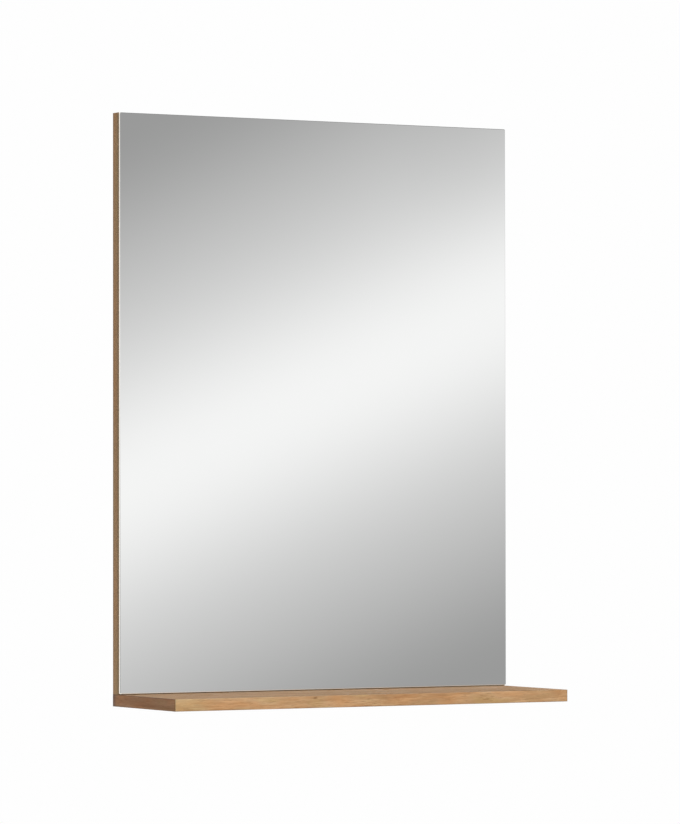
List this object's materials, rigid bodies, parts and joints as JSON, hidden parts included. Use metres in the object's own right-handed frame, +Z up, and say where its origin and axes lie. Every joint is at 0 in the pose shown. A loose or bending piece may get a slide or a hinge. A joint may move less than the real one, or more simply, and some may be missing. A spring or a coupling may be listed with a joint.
{
  "type": "wall mirror with shelf",
  "caption": "Rectangular frameless mirror on a thin oak-decor backing panel with a shallow oak-decor shelf along its lower edge, hung on keyhole plates.",
  "frame": {"origin": "on the wall plane, midway between the centres of the two keyholes' entry holes", "axes": "+X towards the right as seen from the front, +Y into the wall (the mirror faces -Y), +Z up"},
  "size_m": [0.6, 0.182, 0.79],
  "materials": {
    "oak_board": "melamine-faced chipboard, light oak decor with fine pores, satin matt; raw chipboard on the uncovered edges",
    "oak_band": "light oak decor edge band, satin matt",
    "mirror": "clear float glass, silvered behind, with ground and polished edges",
    "silvering": "grey protective paint over silver",
    "foam_tape": "closed-cell foam tape, white",
    "zinc": "bare zinc die casting",
    "steel": "bright zinc-plated steel",
    "beech": "raw beech",
    "felt": "dark grey pressed felt"
  },
  "bodies": {
    "root": {"panel_board": "oak_board", "panel_band_left": "oak_band", "panel_band_right": "oak_band", "panel_band_top": "oak_band", "mirror_glass": "mirror", "mirror_silvering": "silvering", "mirror_tape_far_left": "foam_tape", "mirror_tape_left": "foam_tape", "mirror_tape_right": "foam_tape", "mirror_tape_far_right": "foam_tape", "shelf_board": "oak_board", "shelf_band_front": "oak_band", "shelf_band_left": "oak_band", "shelf_band_right": "oak_band", "cams": "zinc", "cam_bolts": "steel", "dowels": "beech", "hanger_plate_left": "steel", "hanger_plate_right": "steel", "hanger_screws": "steel", "wall_pad_left": "felt", "wall_pad_right": "felt"}
  },
  "joints": []
}
